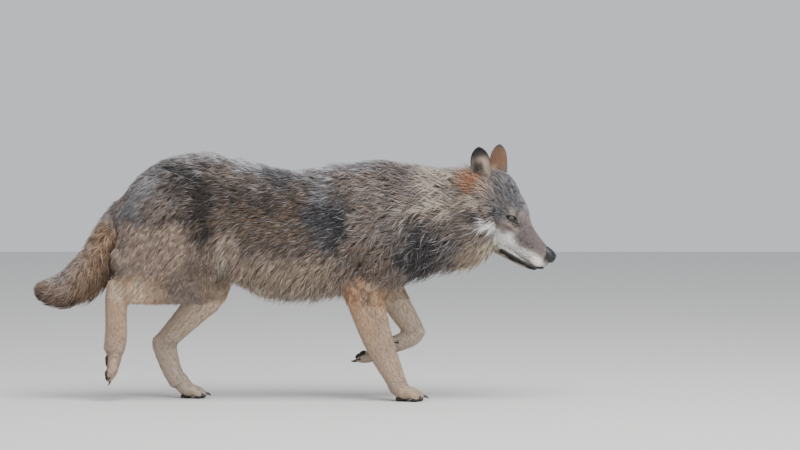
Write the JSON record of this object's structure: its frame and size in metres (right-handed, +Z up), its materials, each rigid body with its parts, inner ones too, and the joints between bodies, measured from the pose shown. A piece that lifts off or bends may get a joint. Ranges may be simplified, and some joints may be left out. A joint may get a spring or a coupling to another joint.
{
  "type": "wolf",
  "caption": "Life-size grey wolf in winter coat, head low, caught mid-trot; a still model that rests on two paws.",
  "frame": {"origin": "on the ground, under the middle of the wolf's bounding box", "axes": "+X to the nose, +Y to the wolf's left, +Z up; the ground is Z = 0"},
  "size_m": [1.5788, 0.2754, 0.7687],
  "materials": {
    "body_fur": "matte",
    "neck_fur": "matte",
    "leg_fur": "matte",
    "paw_fur": "matte",
    "tail_fur": "matte",
    "tail_tip_fur": "matte",
    "face_fur": "matte",
    "jaw_fur": "matte",
    "ear_fur": "matte",
    "nose_leather": "satin",
    "eye": "gloss"
  },
  "bodies": {
    "root": {"trunk": "body_fur", "neck": "neck_fur", "head": "face_fur", "lower_jaw": "jaw_fur", "nose": "nose_leather", "ear_right": "ear_fur", "ear_left": "ear_fur", "eye_right": "eye", "eye_left": "eye", "fore_right_shoulder": "body_fur", "fore_right_forearm": "leg_fur", "fore_right_paw": "paw_fur", "fore_left_shoulder": "body_fur", "fore_left_forearm": "leg_fur", "fore_left_pastern": "leg_fur", "fore_left_paw": "paw_fur", "hind_right_thigh": "body_fur", "hind_right_shank": "leg_fur", "hind_right_metatarsus": "leg_fur", "hind_right_paw": "paw_fur", "hind_left_thigh": "body_fur", "hind_left_shank": "leg_fur", "hind_left_metatarsus": "leg_fur", "hind_left_paw": "paw_fur", "tail_root": "tail_fur", "tail": "tail_fur", "tail_tip": "tail_tip_fur"}
  },
  "joints": []
}
